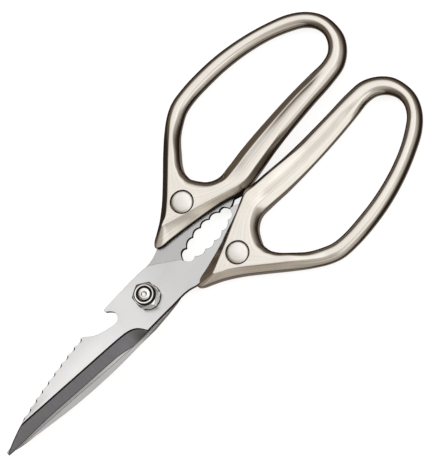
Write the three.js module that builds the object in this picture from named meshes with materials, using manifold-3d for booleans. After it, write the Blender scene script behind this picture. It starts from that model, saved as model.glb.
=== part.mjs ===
// Poultry shears: two stainless blade halves that cross at a shoulder bolt, each riveted
// into a cast loop handle. Millimetres, +Z up. The origin is on the pivot axis, on the flat
// face of the bolt head that the shears lie on. +X runs to the blade tips, +Y to the front
// half's handle. Each blade and handle is drawn once in the front half's position, and the
// rear half is the same shape turned over about the X axis at the parting height.

import * as THREE from "three";
import { mergeVertices } from "three/addons/utils/BufferGeometryUtils.js";
import Module from "manifold-3d";

const wasm = await Module();
wasm.setup();

// ---- driving dimensions ------------------------------------------------------------------

const PARTING_HEIGHT = 5; // between the two blades
const BLADE_GAP = 0.1; // running clearance between the two blades
const BLADE_THICKNESS = 2.8;
const BLADE_BOTTOM = PARTING_HEIGHT + BLADE_GAP / 2;
const BLADE_TOP = BLADE_BOTTOM + BLADE_THICKNESS;

const BEVEL_START = 10.1; // heel of the ground bevel
const BEVEL_FULL = 17.5; // from here to the tip the bevel reaches the full depth
const EDGE_THICKNESS = 0.2;
const HONED_WIDTH = 1.2; // second, steeper bevel along the cutting edge
const HONED_HEIGHT = 0.75;

const SCALER_TEETH = 10;
const SCALER_FIRST = 31.8; // x of the first tooth
const SCALER_PITCH = 4.41;
const SCALER_DEPTH = 0.8;
const TOOTH_WIDTH = 0.5;

const GRIP_TEETH = 5;
const GRIP_MIDDLE = -35.6; // x of the middle tooth of the nutcracker grip
const GRIP_PITCH = 5.05;
const GRIP_DEPTH = 1.15;

const HANDLE_HALF_THICKNESS = 5;
const LOOP_HALF_THICKNESS = 3.7;
const WALL_HALF_HEIGHT = 2.4; // upright wall between the two bevels of the root
const LOOP_WALL_HALF_HEIGHT = 0.5; // the loop is nearly elliptical, with hardly any wall
const HOLE_ROUND = 3.6; // rounding of the finger hole's edge at the root
const ROOT_SLOPE = 0.87; // the root's bevel towards the blades, height over width
const GAP_SLOPE = 1.75; // the inner grip's bevel towards the other half, height over width
const GAP_SHARE = 0.165; // width of that bevel as a share of the strand's
const GRIP_SLOPE = 0.54; // the inner grip's bevel towards the finger hole, height over width
const GRIP_FALL = 0.75; // how far the inner grip's top falls towards the finger hole
const FIT_GAP = 0.3; // round the tang, inside the casting's slot

const RIVET_X = -38.4;
const RIVET_Y = 16.2;
const RIVET_HEAD_RADIUS = 4.85;
const RIVET_SINK_RADIUS = 5.05;
const RIVET_SINK_DEPTH = 1.5;
const RIVET_PROUD = 0.25;
const RIVET_TUBE_RADIUS = 3;
const RIVET_HOLE_RADIUS = 3.1;
const RIVET_PIN_RADIUS = 2;
const RIVET_BORE_RADIUS = 2.1;

const HEAD_RADIUS = 6;
const NECK_RADIUS = 3.8; // double-D neck that keeps the bolt from turning in the rear blade
const NECK_FLAT = 3;
const NECK_GAP = 0.1;
const SHOULDER_RADIUS = 3.5;
const PIVOT_HOLE_RADIUS = 3.59;
const THREAD_RADIUS = 3;
const WASHER_RADIUS = 5.45;
const WASHER_THICKNESS = 1.2;
const WASHER_GAP = 0.05;
const NUT_ACROSS_FLATS = 10;
const NUT_HEX_HEIGHT = 4.5;
const NUT_TURN = THREE.MathUtils.degToRad(25); // where the nut stops when it is tight
const COLLAR_RADIUS = 4.5;
const COLLAR_HEIGHT = 1.6;
const COLLAR_BORE = 3.95;
const LIP_BORE = 3.4; // the collar's lip, rolled over the insert
const NUT_BORE = 3.08;

const ROUND_SIDES = 40; // facets round the pivot's pieces
const RIVET_SIDES = 30;

const SHOULDER_TOP = BLADE_TOP + WASHER_GAP;
const WASHER_TOP = SHOULDER_TOP + WASHER_THICKNESS;
const HEX_TOP = WASHER_TOP + NUT_HEX_HEIGHT;
const NUT_TOP = HEX_TOP + COLLAR_HEIGHT;
const REAR_BLADE_BOTTOM = 2 * PARTING_HEIGHT - BLADE_TOP;

const smooth = THREE.MathUtils.smoothstep;
const lerp = THREE.MathUtils.lerp;

// ---- solids ------------------------------------------------------------------------------

function toSolid(geometry) {
  const bare = geometry.clone();
  bare.deleteAttribute("normal");
  bare.deleteAttribute("uv");
  const merged = mergeVertices(bare, 1e-5);
  return new wasm.Manifold(
    new wasm.Mesh({
      numProp: 3,
      vertProperties: new Float32Array(merged.attributes.position.array),
      triVerts: new Uint32Array(merged.index.array),
    }),
  );
}

function toGeometry(solid) {
  const mesh = solid.getMesh();
  const geometry = new THREE.BufferGeometry();
  geometry.setAttribute("position", new THREE.BufferAttribute(mesh.vertProperties, 3));
  geometry.setIndex(new THREE.BufferAttribute(mesh.triVerts, 1));
  geometry.computeVertexNormals();
  return geometry;
}

function plate(outline, bottom, top) {
  const shape = new THREE.Shape(outline);
  const geometry = new THREE.ExtrudeGeometry(shape, { depth: top - bottom, bevelEnabled: false });
  return toSolid(geometry.translate(0, 0, bottom));
}

function turned(profile, sides, x = 0, y = 0) {
  const points = profile.map(([radius, height]) => new THREE.Vector2(radius, height));
  const geometry = new THREE.LatheGeometry(points, sides).rotateX(Math.PI / 2);
  return toSolid(geometry.translate(x, y, 0));
}

function cylinder(radius, bottom, top, sides, x = 0, y = 0) {
  return turned([[0, bottom], [radius, bottom], [radius, top], [0, top]], sides, x, y);
}

// Joins rings of equal size into one skin; open rows of rings get a flat cap at each end.
function skin(rings, looped) {
  const size = rings[0].length;
  const positions = rings.flat().flatMap((p) => [p.x, p.y, p.z]);
  const indices = [];
  const last = looped ? rings.length : rings.length - 1;
  for (let i = 0; i < last; i += 1) {
    const here = i * size;
    const next = ((i + 1) % rings.length) * size;
    for (let j = 0; j < size; j += 1) {
      const k = (j + 1) % size;
      indices.push(here + j, here + k, next + k, here + j, next + k, next + j);
    }
  }
  if (!looped) {
    const flat = (ring) => ring.map((p) => new THREE.Vector2(p.y, p.z));
    const first = THREE.ShapeUtils.triangulateShape(flat(rings[0]), []);
    const end = (rings.length - 1) * size;
    first.forEach(([a, b, c]) => indices.push(c, b, a));
    const final = THREE.ShapeUtils.triangulateShape(flat(rings[rings.length - 1]), []);
    final.forEach(([a, b, c]) => indices.push(end + a, end + b, end + c));
  }
  const geometry = new THREE.BufferGeometry();
  geometry.setAttribute("position", new THREE.Float32BufferAttribute(positions, 3));
  geometry.setIndex(indices);
  return toSolid(geometry);
}

// ---- outlines ----------------------------------------------------------------------------

// A smooth curve through a few points, with the given number of steps between them.
function curve(points, steps, closed = false) {
  const spline = new THREE.CatmullRomCurve3(
    points.map(([x, y]) => new THREE.Vector3(x, y, 0)),
    closed,
  );
  const count = (closed ? points.length : points.length - 1) * steps;
  const samples = spline.getPoints(count).map((p) => new THREE.Vector2(p.x, p.y));
  return closed ? samples.slice(0, -1) : samples;
}

const straight = (points) => points.map(([x, y]) => new THREE.Vector2(x, y));

// A hollow between two teeth: a shallow arc from one tip to the next.
function hollow(from, to, depth, side, steps) {
  const points = [];
  for (let i = 1; i < steps; i += 1) {
    const t = i / steps;
    const x = lerp(from.x, to.x, t);
    const y = lerp(from.y, to.y, t) + side * depth * 4 * t * (1 - t);
    points.push(new THREE.Vector2(x, y));
  }
  return points;
}

// The toothed back of the front blade.
function backLine(x) {
  const run = x - SCALER_FIRST;
  return -9.65 + 0.0448 * run + 0.001886 * run * run;
}

function scalerTeeth() {
  const tips = [];
  for (let i = SCALER_TEETH - 1; i >= 0; i -= 1) {
    const x = SCALER_FIRST + i * SCALER_PITCH;
    tips.push(new THREE.Vector2(x, backLine(x)));
  }
  const points = [];
  tips.forEach((tip, i) => {
    const high = new THREE.Vector2(tip.x + TOOTH_WIDTH / 2, tip.y + 0.05);
    const low = new THREE.Vector2(tip.x - TOOTH_WIDTH / 2, tip.y - 0.05);
    points.push(high, low);
    if (i < tips.length - 1) {
      const next = new THREE.Vector2(tips[i + 1].x + TOOTH_WIDTH / 2, tips[i + 1].y + 0.05);
      points.push(...hollow(low, next, SCALER_DEPTH, 1, 5));
    }
  });
  return points;
}

function gripTeeth() {
  const points = [];
  const tip = (i) => {
    const x = GRIP_MIDDLE + ((GRIP_TEETH - 1) / 2 - i) * GRIP_PITCH;
    return new THREE.Vector2(x, 4.6 - 0.0155 * (x - GRIP_MIDDLE) ** 2);
  };
  for (let i = 0; i < GRIP_TEETH; i += 1) {
    points.push(tip(i));
    if (i < GRIP_TEETH - 1) {
      points.push(...hollow(tip(i), tip(i + 1), GRIP_DEPTH, 1, 6));
    }
  }
  return points;
}

// The tip, and the spine behind it: the front blade's reaches the scaler teeth, the rear
// blade's runs plain and a little slimmer to the ricasso.
const TIP = [[87.3, 0.85], [87.25, 0.1]];
const FRONT_SPINE = [[86.8, -0.15], [83, -1.6], [79, -2.8], [75.2, -3.75], [73.2, -4.05]];
const REAR_SPINE = [
  [86.8, -0.15], [81, -1.9], [75, -3.2], [66, -5], [56, -6.9], [44, -8.6], [30, -9.9], [16.3, -10.5],
];

function openerNotch() {
  const mouth = [
    [31.5, -9.7], [29.9, -8.6], [27.6, -6.4], [24, -4.6], [19.6, -3.15], [16.2, -2.75],
    [14.4, -4.1], [14.1, -6.2], [15.1, -7.9], [16.6, -9.4],
  ];
  return [...curve(mouth, 3), ...straight([[16.7, -10.2], [16.3, -10.5]])];
}

// The ricasso's corner, the flat that clears the other blade's tang, and the grip.
const RICASSO = [[8, -10.4], [0, -10.15], [-6, -9.75], [-8.4, -9.4], [-9.8, -8.9]];
const GRIP_START = [[-20.6, -0.3], [-21.2, 1.5], [-22.6, 3.3], [-24.2, 3.6], [-25.2, 3.1]];
const HOOK = [[-46.8, 3.5], [-48.3, 3.1], [-49.9, 0.45], [-51.6, 0.95], [-54, 2.1]];

// The tang inside the casting, from the hook round the rivet to the nose.
const TANG_POCKET = [
  [-55.2, 4.2], [-52.6, 8], [-47.6, 11.4], [-45, 15.5], [-44.1, 21], [-41.2, 24.4],
  [-36, 21.9], [-28, 15.9], [-21, 12.7],
];
const NECK_EDGE = [[-17, 12], [-14, 10.9], [-11.5, 10.4], [-9, 10.2], [-5, 10.1], [0, 9.8], [8, 9.45]];

// The cutting edge, straight but for a slight belly at the heel.
function edgeLine(x) {
  return 8.8 - 0.118 * (x - 20) - 0.0028 * Math.max(0, 24 - x) * (24 - x) + 0.1 * smooth(x, 70, 90);
}

function edgePoints(from) {
  const points = [];
  for (let x = from; x < 87; x += 8) {
    points.push(new THREE.Vector2(x, edgeLine(x)));
  }
  return points;
}

const BONE_NOTCH = [
  [12.9, 9.05], [13.3, 6.4], [14.4, 3.6], [17, 2.2], [20.6, 2.5], [24.4, 4], [27.6, 5.9],
  [30.4, 7.6],
];

function bladeOutline(back, edge) {
  return [
    ...straight(TIP),
    ...back,
    ...straight(RICASSO),
    ...curve(GRIP_START, 2),
    ...gripTeeth(),
    ...curve(HOOK.slice(0, 3), 2),
    ...straight(HOOK.slice(3)),
    ...straight(TANG_POCKET),
    ...curve(NECK_EDGE, 2),
    ...edge,
  ];
}

// ---- blades ------------------------------------------------------------------------------

// Where the bevel starts on the blade's face: a short curved run-out at the heel, and then
// a straight line that reaches the spine near the tip.
function bevelLine(x) {
  const along = 2.48 - 0.1135 * (x - 20);
  const runOut = 6.0 * Math.exp(-(x - BEVEL_START) / 2.4);
  return along + runOut - 0.02;
}

function bevelCutter() {
  const rings = [];
  const stations = [BEVEL_START, 10.7, 11.5, 12.5, 13.8, 15.5, BEVEL_FULL, 20, 24, 30, 45, 60, 75, 90];
  const above = BLADE_TOP + 1;
  stations.forEach((x) => {
    const depth = smooth(x, BEVEL_START - 0.6, BEVEL_FULL);
    const edge = edgeLine(x);
    const start = Math.min(bevelLine(x), edge - 0.3);
    const low = lerp(BLADE_TOP - 0.02, BLADE_BOTTOM + EDGE_THICKNESS, depth);
    const honed = Math.max(edge - HONED_WIDTH, lerp(start, edge, 0.6));
    const honedHeight = lerp(BLADE_TOP - 0.01, BLADE_BOTTOM + HONED_HEIGHT, depth);
    rings.push([
      new THREE.Vector3(x, start, BLADE_TOP),
      new THREE.Vector3(x, honed, honedHeight),
      new THREE.Vector3(x, edge, low),
      new THREE.Vector3(x, edge + 3, low),
      new THREE.Vector3(x, edge + 3, above),
      new THREE.Vector3(x, start, above),
    ]);
  });
  return skin(rings, false);
}

function doubleD(radius, flat, bottom, top) {
  const box = new THREE.BoxGeometry(4 * radius, 2 * flat, top - bottom);
  const slab = toSolid(box.translate(0, 0, (top + bottom) / 2));
  return cylinder(radius, bottom, top, ROUND_SIDES).intersect(slab);
}

function blade(outline, pivotHole) {
  const rivetHole = cylinder(RIVET_HOLE_RADIUS, 0, 12, RIVET_SIDES, RIVET_X, RIVET_Y);
  const body = plate(outline, BLADE_BOTTOM, BLADE_TOP).subtract(bevelCutter());
  return toGeometry(body.subtract(pivotHole).subtract(rivetHole));
}

function frontBlade() {
  const back = [...curve(FRONT_SPINE, 2), ...scalerTeeth(), ...openerNotch()];
  const edge = [...straight([[12, edgeLine(12)]]), ...edgePoints(16)];
  return blade(bladeOutline(back, edge), cylinder(PIVOT_HOLE_RADIUS, 0, 12, ROUND_SIDES));
}

function rearBlade() {
  const edge = [...curve(BONE_NOTCH, 3), ...edgePoints(34)];
  const hole = doubleD(NECK_RADIUS + NECK_GAP, NECK_FLAT + NECK_GAP, 0, 12);
  return blade(bladeOutline(curve(REAR_SPINE, 2), edge), hole);
}

// ---- handles -----------------------------------------------------------------------------

// Sections round the loop, from the nose along the outer strand, round the end and back
// along the inner strand: the outline, the edge of the flat on the washer's side, and the
// finger hole. Where no flat edge is given, the strand is rounded over its whole width.
const SECTIONS = [
  { outline: [-16.9, 12.3], flat: [-25.2, 14.5], hole: [-47.7, 22.2] },
  { outline: [-18.3, 14.0], flat: [-25.6, 15.0], hole: [-47.8, 23.4] },
  { outline: [-21.5, 15.8], flat: [-26.6, 15.7], hole: [-47.9, 24.6] },
  { outline: [-26.5, 18.7], flat: [-28.9, 17.0], hole: [-48.2, 25.9] },
  { outline: [-32.5, 23.1], flat: [-34.3, 21.1], hole: [-48.9, 27.3] },
  { outline: [-39.5, 29.3], flat: [-41.3, 27.4], hole: [-50.2, 29.2] },
  { outline: [-47.0, 36.3], flat: [-48.7, 34.3], hole: [-53.0, 32.3] },
  { outline: [-54.0, 42.7], hole: [-58.0, 37.2] },
  { outline: [-60.3, 47.3], hole: [-63.0, 40.4] },
  { outline: [-66.0, 49.8], hole: [-67.5, 42.5] },
  { outline: [-73.5, 50.7], hole: [-73.5, 43.4] },
  { outline: [-83.0, 50.6], hole: [-82.0, 43.3] },
  { outline: [-94.0, 49.4], hole: [-92.0, 42.5] },
  { outline: [-106.0, 46.6], hole: [-103.0, 40.4] },
  { outline: [-117.0, 42.7], hole: [-113.5, 37.0] },
  { outline: [-126.0, 38.3], hole: [-121.5, 33.0] },
  { outline: [-132.0, 33.0], hole: [-126.6, 29.4] },
  { outline: [-135.4, 27.0], hole: [-129.2, 25.4] },
  { outline: [-136.2, 21.0], hole: [-129.7, 21.2] },
  { outline: [-134.8, 14.0], hole: [-128.0, 17.0] },
  { outline: [-130.8, 8.7], hole: [-124.7, 14.0] },
  { outline: [-125.0, 5.1], hole: [-120.5, 13.0] },
  { outline: [-117.0, 4.0], hole: [-114.5, 13.3] },
  { outline: [-105.0, 3.8], hole: [-104.0, 13.8] },
  { outline: [-93.0, 3.3], hole: [-92.5, 14.0] },
  { outline: [-81.0, 2.3], hole: [-81.0, 13.8] },
  { outline: [-71.0, 1.15], hole: [-71.0, 13.2] },
  { outline: [-63.5, 0.35], hole: [-62.5, 12.3] },
  { outline: [-59.2, 0.25], flat: [-58.4, 1.6], hole: [-57.3, 12.0] },
  { outline: [-55.5, 1.5], flat: [-54.6, 3.0], hole: [-54.5, 12.8] },
  { outline: [-49.0, 4.1], flat: [-48.2, 5.4], hole: [-51.5, 14.8] },
  { outline: [-41.0, 6.25], flat: [-40.3, 8.6], hole: [-49.6, 17.3] },
  { outline: [-32.0, 8.25], flat: [-31.5, 12.0], hole: [-48.5, 19.2] },
  { outline: [-24.0, 9.75], flat: [-26.6, 13.9], hole: [-47.9, 20.4] },
  { outline: [-18.4, 10.8], flat: [-25.5, 14.25], hole: [-47.75, 21.3] },
];
// The flat on the other side starts further in, on the sections of the root named here.
const FAR_FLATS = {
  28: [-58.4, 3.1], 29: [-54.6, 4.5], 30: [-48.2, 6.9], 31: [-40.3, 9.9], 32: [-31.5, 13.1],
  33: [-26.6, 14.9], 34: [-25.7, 15.2], 0: [-25.3, 15.5], 1: [-25.6, 15.8], 2: [-26.7, 16.2],
};
const INNER_STRAND = 21; // index of the section where the inner strand starts
const STEPS_PER_SECTION = 2;
const ROUND_STEPS = 3;

// How far the inner strand's side towards the other half is a bevel rather than round.
const gapBevel = (x) => smooth(x, -97, -75);

// How far across the strand the flat top starts on each side, and how the sides fall away.
function strandShape(index, x) {
  const root = smooth(x, -62, -46);
  const inner = index >= INNER_STRAND || index === 0;
  const grip = inner ? smooth(x, -122, -108) : 0;
  return {
    outerFlat: inner ? lerp(0.42, lerp(0.3, GAP_SHARE, gapBevel(x)), grip) : 0.42,
    holeFlat: lerp(0.42, 0.27, grip),
    root,
    grip: Math.max(grip * (1 - root), 0),
  };
}

const mix = (a, b, t) => [lerp(a[0], b[0], t), lerp(a[1], b[1], t)];

// The four lines that run round the loop, for the washer's side or for the far side.
function handleCurves(farSide) {
  const outline = SECTIONS.map((s) => s.outline);
  const hole = SECTIONS.map((s) => s.hole);
  const flats = SECTIONS.map((s, i) => (farSide && FAR_FLATS[i] ? FAR_FLATS[i] : s.flat));
  const outerEdge = SECTIONS.map((s, i) => {
    const shape = strandShape(i, s.outline[0]);
    return flats[i] ?? mix(s.outline, s.hole, shape.outerFlat);
  });
  const holeEdge = SECTIONS.map((s, i) => {
    const shape = strandShape(i, s.hole[0]);
    const from = flats[i] ?? s.outline;
    const width = Math.hypot(s.outline[0] - s.hole[0], s.outline[1] - s.hole[1]);
    const reach = Math.hypot(from[0] - s.hole[0], from[1] - s.hole[1]);
    const back = lerp(shape.holeFlat * width, HOLE_ROUND, shape.root);
    return mix(s.hole, from, Math.min(back / reach, 0.5));
  });
  return [outline, outerEdge, holeEdge, hole].map((c) => curve(c, STEPS_PER_SECTION, true));
}

// One side of a section, from the wall's top up to the flat: straight where planar is 1,
// a quarter of an ellipse where it is 0.
function flank(from, to, wall, crest, planar) {
  const points = [];
  for (let k = 0; k <= ROUND_STEPS; k += 1) {
    const t = k / ROUND_STEPS;
    const angle = (t * Math.PI) / 2;
    const across = lerp(1 - Math.cos(angle), t, planar);
    const height = lerp(wall, crest, lerp(Math.sin(angle), t, planar));
    points.push(new THREE.Vector3(lerp(from.x, to.x, across), lerp(from.y, to.y, across), height));
  }
  return points;
}

// Half the strand's height: full at the root, less round the loop.
function halfThickness(index, x) {
  const full = index >= INNER_STRAND ? smooth(x, -90, -62) : smooth(x, -62, -46);
  return lerp(LOOP_HALF_THICKNESS, HANDLE_HALF_THICKNESS, full);
}

// Half a section over the top, from the outline to the finger hole.
function halfRing(i, [outline, outerEdge, holeEdge, hole]) {
  const point = outline[i];
  const index = i / STEPS_PER_SECTION;
  const shape = strandShape(index, point.x);
  const holeShape = strandShape(index, hole[i].x);
  const root = index >= INNER_STRAND ? smooth(point.x, -66, -57) : shape.root;
  const crest = halfThickness(index, point.x);
  const fall = GRIP_FALL * shape.grip * (1 - root);
  const width = outerEdge[i].distanceTo(point);
  const gap = shape.grip * gapBevel(point.x);
  const gapWall = Math.max(LOOP_WALL_HALF_HEIGHT, crest - GAP_SLOPE * width);
  const rootWall = Math.max(WALL_HALF_HEIGHT, crest - ROOT_SLOPE * width);
  const outerWall = lerp(lerp(LOOP_WALL_HALF_HEIGHT, gapWall, gap), rootWall, root);
  const gripDrop = GRIP_SLOPE * holeEdge[i].distanceTo(hole[i]);
  const gripWall = Math.max(LOOP_WALL_HALF_HEIGHT, crest - fall - gripDrop);
  const upright = lerp(LOOP_WALL_HALF_HEIGHT, gripWall, holeShape.grip);
  const holeWall = lerp(upright, WALL_HALF_HEIGHT, holeShape.root);
  const outer = flank(point, outerEdge[i], outerWall, crest, Math.min(root + gap, 1));
  const inner = flank(hole[i], holeEdge[i], holeWall, crest - fall, holeShape.grip);
  return [...outer, ...inner.reverse()];
}

function handleSkin() {
  const near = handleCurves(false);
  const far = handleCurves(true);
  const raise = (p, side) => new THREE.Vector3(p.x, p.y, PARTING_HEIGHT + side * p.z);
  const rings = near[0].map((_, i) => [
    ...halfRing(i, far).map((p) => raise(p, -1)),
    ...halfRing(i, near).map((p) => raise(p, 1)).reverse(),
  ]);
  return skin(rings, true);
}

// The slot for the tang, open at the nose and along the grip side.
function tangSlot() {
  const grown = TANG_POCKET.map(([x, y], i) => {
    const before = TANG_POCKET[Math.max(0, i - 1)];
    const after = TANG_POCKET[Math.min(TANG_POCKET.length - 1, i + 1)];
    const run = new THREE.Vector2(after[0] - before[0], after[1] - before[1]).normalize();
    return [x - run.y * FIT_GAP, y + run.x * FIT_GAP];
  });
  const corner = [[-56.2, -3], [-56, 3.6]];
  const mouth = [[-17, 12.35], [-12, 10.9], [-12, -3]];
  return plate(straight([...corner, ...grown, ...mouth]).reverse(), BLADE_BOTTOM, BLADE_TOP);
}

function handle() {
  const sink = RIVET_SINK_DEPTH;
  const high = PARTING_HEIGHT + HANDLE_HALF_THICKNESS;
  const body = handleSkin()
    .subtract(tangSlot())
    .subtract(cylinder(RIVET_HOLE_RADIUS, -1, 12, RIVET_SIDES, RIVET_X, RIVET_Y))
    .subtract(cylinder(RIVET_SINK_RADIUS, high - sink, high + 1, RIVET_SIDES, RIVET_X, RIVET_Y))
    .subtract(cylinder(RIVET_SINK_RADIUS, -1, sink, RIVET_SIDES, RIVET_X, RIVET_Y));
  return toGeometry(body);
}

// ---- rivets ------------------------------------------------------------------------------

function rivet() {
  const high = PARTING_HEIGHT + HANDLE_HALF_THICKNESS;
  const seat = high - RIVET_SINK_DEPTH;
  const top = high + RIVET_PROUD;
  const pinEnd = RIVET_SINK_DEPTH + 1.5;
  return toGeometry(
    turned(
      [
        [0, pinEnd], [RIVET_PIN_RADIUS - 0.4, pinEnd], [RIVET_PIN_RADIUS, pinEnd + 0.5],
        [RIVET_PIN_RADIUS, seat], [RIVET_HEAD_RADIUS, seat], [RIVET_HEAD_RADIUS, top - 0.3],
        [RIVET_HEAD_RADIUS - 0.3, top], [0, top],
      ],
      RIVET_SIDES,
    ),
  );
}

function rivetCap() {
  const seat = PARTING_HEIGHT + HANDLE_HALF_THICKNESS - RIVET_SINK_DEPTH;
  return toGeometry(
    turned(
      [
        [0, 0], [RIVET_HEAD_RADIUS - 0.2, 0], [RIVET_HEAD_RADIUS, 0.2],
        [RIVET_HEAD_RADIUS, RIVET_SINK_DEPTH], [RIVET_TUBE_RADIUS, RIVET_SINK_DEPTH],
        [RIVET_TUBE_RADIUS, seat - 0.1], [RIVET_BORE_RADIUS, seat - 0.1],
        [RIVET_BORE_RADIUS, RIVET_SINK_DEPTH + 0.5], [0, RIVET_SINK_DEPTH + 0.5],
      ],
      RIVET_SIDES,
    ),
  );
}

// ---- pivot -------------------------------------------------------------------------------

function pivotBolt() {
  const head = turned(
    [
      [0, 0], [HEAD_RADIUS - 0.7, 0], [HEAD_RADIUS, 0.7], [HEAD_RADIUS, REAR_BLADE_BOTTOM],
      [0, REAR_BLADE_BOTTOM],
    ],
    ROUND_SIDES,
  );
  const neck = doubleD(NECK_RADIUS, NECK_FLAT, 1, PARTING_HEIGHT - BLADE_GAP / 2);
  const end = NUT_TOP - 0.1;
  const shank = turned(
    [
      [0, 1], [NECK_FLAT, 1], [NECK_FLAT, PARTING_HEIGHT - BLADE_GAP / 2],
      [SHOULDER_RADIUS, PARTING_HEIGHT - BLADE_GAP / 2], [SHOULDER_RADIUS, SHOULDER_TOP],
      [THREAD_RADIUS, SHOULDER_TOP], [THREAD_RADIUS, end - 0.5], [THREAD_RADIUS - 0.5, end],
      [1.9, end], [1.5, end - 0.35], [0, end - 0.35],
    ],
    ROUND_SIDES,
  );
  return toGeometry(head.add(neck).add(shank));
}

function pivotWasher() {
  const bore = THREAD_RADIUS + 0.12;
  return toGeometry(
    turned(
      [
        [bore, SHOULDER_TOP], [WASHER_RADIUS - 0.25, SHOULDER_TOP],
        [WASHER_RADIUS, SHOULDER_TOP + 0.25], [WASHER_RADIUS, WASHER_TOP - 0.4],
        [WASHER_RADIUS - 0.4, WASHER_TOP], [bore, WASHER_TOP], [bore, SHOULDER_TOP],
      ],
      ROUND_SIDES,
    ),
  );
}

function pivotNut() {
  const corner = NUT_ACROSS_FLATS / Math.sqrt(3);
  const hex = cylinder(corner, WASHER_TOP, HEX_TOP, 6);
  const chamfer = turned(
    [
      [0, WASHER_TOP], [corner - 0.55, WASHER_TOP], [corner + 0.05, WASHER_TOP + 0.35],
      [corner + 0.05, HEX_TOP - 0.55], [corner - 1, HEX_TOP], [0, HEX_TOP],
    ],
    ROUND_SIDES,
  );
  const collar = turned(
    [
      [0, HEX_TOP - 1], [COLLAR_RADIUS, HEX_TOP - 1], [COLLAR_RADIUS, NUT_TOP - 0.7],
      [COLLAR_RADIUS - 0.25, NUT_TOP - 0.2], [COLLAR_RADIUS - 0.75, NUT_TOP], [0, NUT_TOP],
    ],
    ROUND_SIDES,
  );
  const bore = turned(
    [
      [0, WASHER_TOP - 1], [NUT_BORE, WASHER_TOP - 1], [NUT_BORE, HEX_TOP + 0.1],
      [COLLAR_BORE, HEX_TOP + 0.1], [COLLAR_BORE, NUT_TOP - 0.25], [LIP_BORE, NUT_TOP - 0.05],
      [LIP_BORE, NUT_TOP + 1], [0, NUT_TOP + 1],
    ],
    ROUND_SIDES,
  );
  return toGeometry(hex.intersect(chamfer).add(collar).subtract(bore)).rotateZ(NUT_TURN);
}

function nutInsert() {
  const outer = COLLAR_BORE - 0.05;
  const low = HEX_TOP + 0.1;
  const high = NUT_TOP - 0.35;
  return toGeometry(
    turned(
      [
        [NUT_BORE, low], [outer, low], [outer, high], [NUT_BORE + 0.2, high],
        [NUT_BORE, high - 0.2], [NUT_BORE, low],
      ],
      ROUND_SIDES,
    ),
  );
}

// ---- assembly ----------------------------------------------------------------------------

const satinSteel = { color: 0xd9dadc, roughness: 0.32, metalness: 1 };
const satinNickel = { color: 0xcdc6bc, roughness: 0.3, metalness: 1 };
const brightSteel = { color: 0xe2e3e4, roughness: 0.16, metalness: 1 };
const spunSteel = { color: 0xdedbd6, roughness: 0.28, metalness: 1 };
const darkNylon = { color: 0x1c1c1e, roughness: 0.5, metalness: 0 };

const group = new THREE.Group();

function place(name, geometry, look, parent) {
  const mesh = new THREE.Mesh(geometry, new THREE.MeshStandardMaterial(look));
  mesh.name = name;
  parent.add(mesh);
  return mesh;
}

const frontHalf = new THREE.Group();
const turnedOver = new THREE.Group();
turnedOver.rotation.x = Math.PI;
turnedOver.position.z = 2 * PARTING_HEIGHT;
const pivot = new THREE.Group();
group.add(frontHalf, turnedOver, pivot);

place("front_blade", frontBlade(), satinSteel, frontHalf);
place("front_handle", handle(), satinNickel, frontHalf);
place("rear_blade", rearBlade(), satinSteel, turnedOver);
place("rear_handle", handle(), satinNickel, turnedOver);

[["front", 1], ["rear", -1]].forEach(([half, side]) => {
  place(`${half}_rivet`, rivet(), spunSteel, group).position.set(RIVET_X, side * RIVET_Y, 0);
  place(`${half}_rivet_cap`, rivetCap(), spunSteel, group).position.set(RIVET_X, side * RIVET_Y, 0);
});

place("pivot_bolt", pivotBolt(), brightSteel, pivot);
place("pivot_washer", pivotWasher(), brightSteel, pivot);
place("pivot_nut", pivotNut(), brightSteel, pivot);
place("pivot_nut_insert", nutInsert(), darkNylon, pivot);

export default group;
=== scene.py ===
"""Poultry shears: the visual model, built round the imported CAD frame.

Lengths in the shape code are millimetres in the part's frame and become metres when a mesh
is made. The frame's origin is on the pivot axis, on the flat of the bolt head that the
shears lie on; +X runs to the blade tips, +Y to the front half's handle and +Z to the nut.
Each blade and handle is drawn once, as the front one, and turned over for the rear half.
"""

import math

import bmesh
import bpy
import numpy as np
from mathutils import Matrix, Vector
from mathutils.geometry import delaunay_2d_cdt


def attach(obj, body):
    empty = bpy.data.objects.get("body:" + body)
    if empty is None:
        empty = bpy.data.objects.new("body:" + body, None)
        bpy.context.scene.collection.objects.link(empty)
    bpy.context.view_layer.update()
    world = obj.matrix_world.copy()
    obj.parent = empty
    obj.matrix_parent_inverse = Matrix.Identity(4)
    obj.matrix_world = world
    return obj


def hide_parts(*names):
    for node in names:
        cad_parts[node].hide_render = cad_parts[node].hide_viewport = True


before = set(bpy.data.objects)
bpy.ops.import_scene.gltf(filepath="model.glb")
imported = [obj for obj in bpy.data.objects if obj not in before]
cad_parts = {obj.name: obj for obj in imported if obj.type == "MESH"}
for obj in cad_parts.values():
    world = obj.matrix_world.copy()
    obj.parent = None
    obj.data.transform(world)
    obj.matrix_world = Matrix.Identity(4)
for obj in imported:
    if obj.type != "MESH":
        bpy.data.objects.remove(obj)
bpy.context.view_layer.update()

MM = 0.001

# ---- dimensions shared with the CAD ----

PARTING = 5.0
BLADE_GAP = 0.1
BLADE_THICKNESS = 2.8
BLADE_BOTTOM = PARTING + BLADE_GAP / 2
BLADE_TOP = BLADE_BOTTOM + BLADE_THICKNESS

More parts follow.
